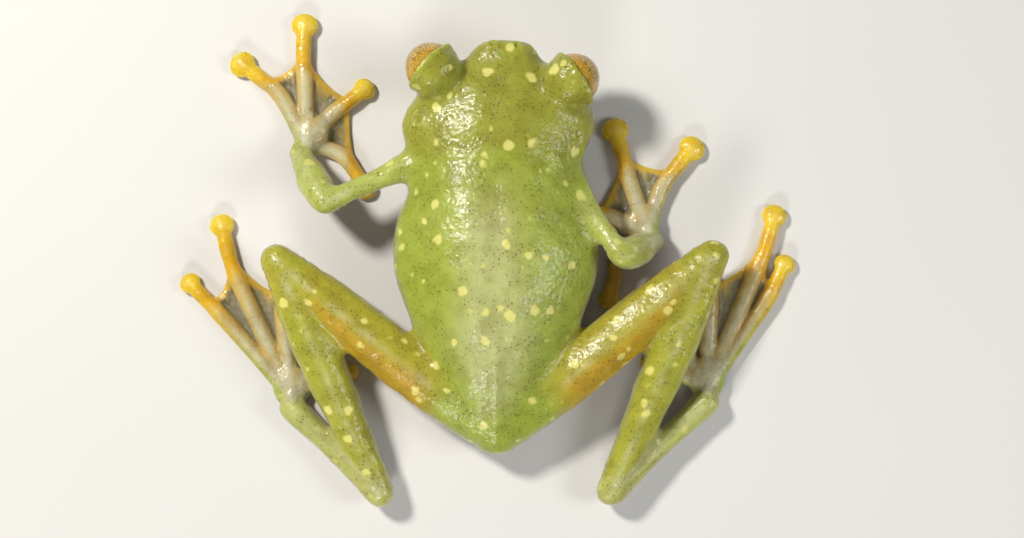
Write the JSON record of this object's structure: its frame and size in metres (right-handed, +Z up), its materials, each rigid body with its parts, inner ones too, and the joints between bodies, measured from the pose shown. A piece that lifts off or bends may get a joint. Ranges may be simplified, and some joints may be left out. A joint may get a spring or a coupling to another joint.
{
  "type": "glass frog",
  "caption": "Life-size still model of a small tree frog with see-through belly skin, clinging flat with splayed, webbed, disc-tipped hands and feet.",
  "frame": {"origin": "on the ground, under the middle of the whole animal's bounding box", "axes": "+X towards the frog's own left, +Y towards its rear, so that the snout points along -Y, +Z up"},
  "size_m": [0.0388, 0.0312, 0.007],
  "materials": {
    "skin": "wet, see-through skin: grey-green belly, olive snout, orange-yellow digits",
    "eye": "wet, clear cornea over a speckled golden iris"
  },
  "bodies": {
    "root": {"head": "skin", "trunk": "skin", "eye_right": "eye", "eye_left": "eye", "upper_arm_right": "skin", "forearm_right": "skin", "hand_right": "skin", "finger_right_1": "skin", "finger_right_2": "skin", "finger_right_3": "skin", "finger_right_4": "skin", "thigh_right": "skin", "shank_right": "skin", "tarsus_right": "skin", "foot_right": "skin", "toe_right_1": "skin", "toe_right_2": "skin", "toe_right_3": "skin", "toe_right_4": "skin", "toe_right_5": "skin", "upper_arm_left": "skin", "forearm_left": "skin", "hand_left": "skin", "finger_left_1": "skin", "finger_left_2": "skin", "finger_left_3": "skin", "finger_left_4": "skin", "thigh_left": "skin", "shank_left": "skin", "tarsus_left": "skin", "foot_left": "skin", "toe_left_1": "skin", "toe_left_2": "skin", "toe_left_3": "skin", "toe_left_4": "skin", "toe_left_5": "skin"}
  },
  "joints": []
}
